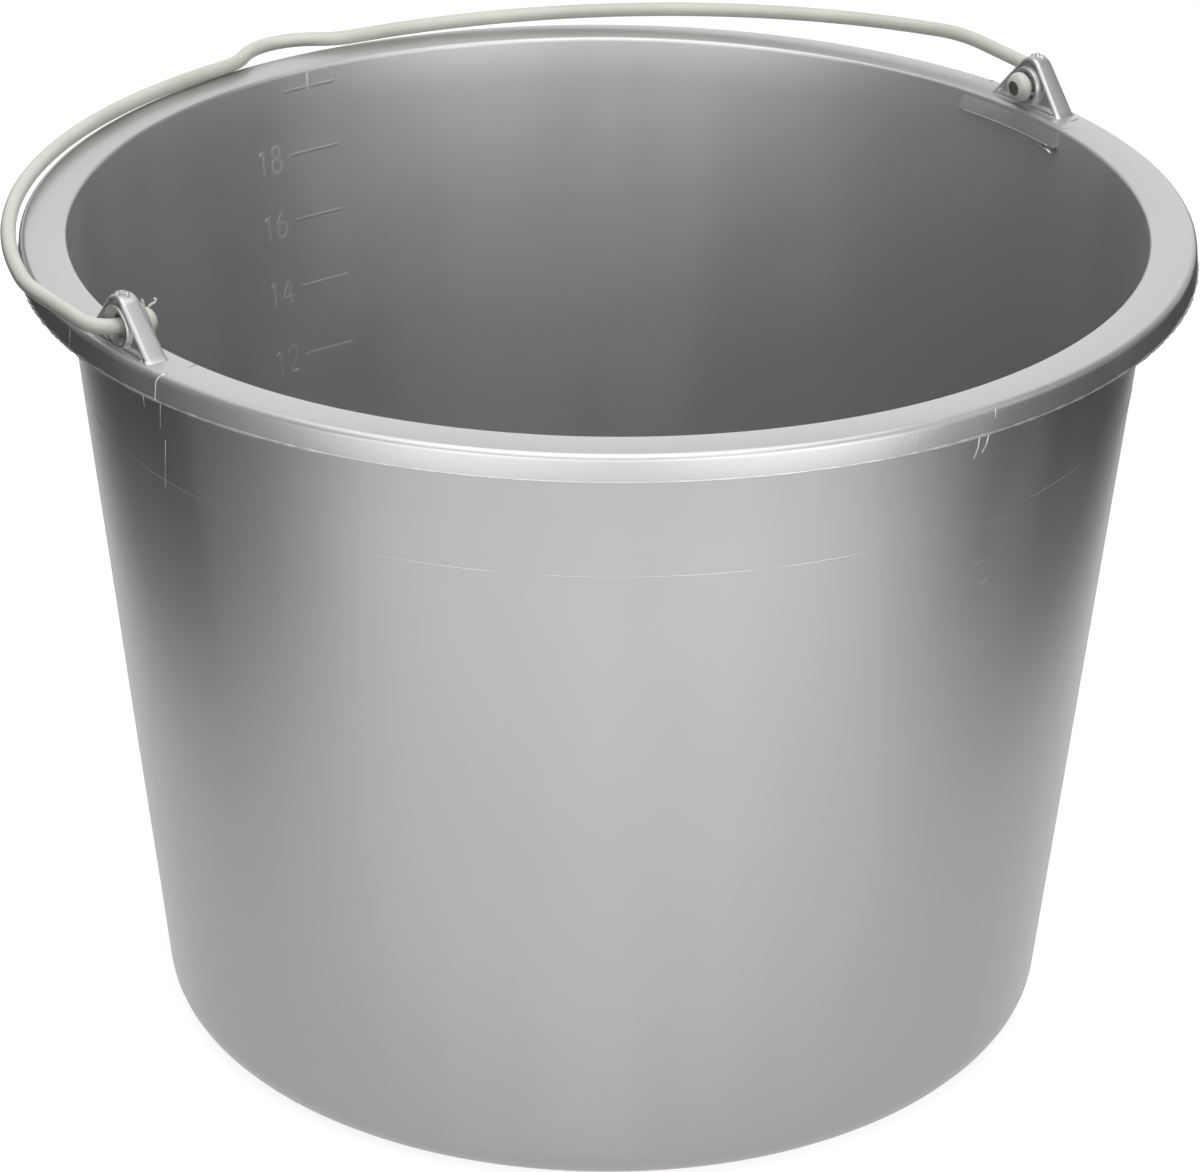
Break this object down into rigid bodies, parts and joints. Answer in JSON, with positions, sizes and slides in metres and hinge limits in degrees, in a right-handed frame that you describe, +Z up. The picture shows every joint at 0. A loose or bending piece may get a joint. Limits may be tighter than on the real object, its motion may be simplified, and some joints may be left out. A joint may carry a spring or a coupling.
{
  "type": "bucket",
  "caption": "Tapered plastic bucket with a flat skirted rim, moulded ears and a folding wire bail, for carrying water, mortar or feed",
  "frame": {"origin": "centre of the base, on the surface the bucket stands on", "axes": "+Z is up along the bucket's axis; the ears stand at +X and -X; the bail lies folded towards +Y, over the litre marks"},
  "size_m": [0.3808, 0.3815, 0.2858],
  "materials": {
    "moulded_plastic": "silver-grey moulded plastic with a satin skin",
    "coated_wire": "pale ivory-grey coating on steel wire, satin"
  },
  "bodies": {
    "bucket": {"bucket_body": "moulded_plastic"},
    "bail": {"wire_bail": "coated_wire"}
  },
  "joints": [
    {"name": "bail_hinge", "type": "hinge", "parent": "bucket", "child": "bail", "pos_m": [0, 0, 0.2759], "axis": [1, 0, 0], "range_deg": [0, 182.3]}
  ]
}
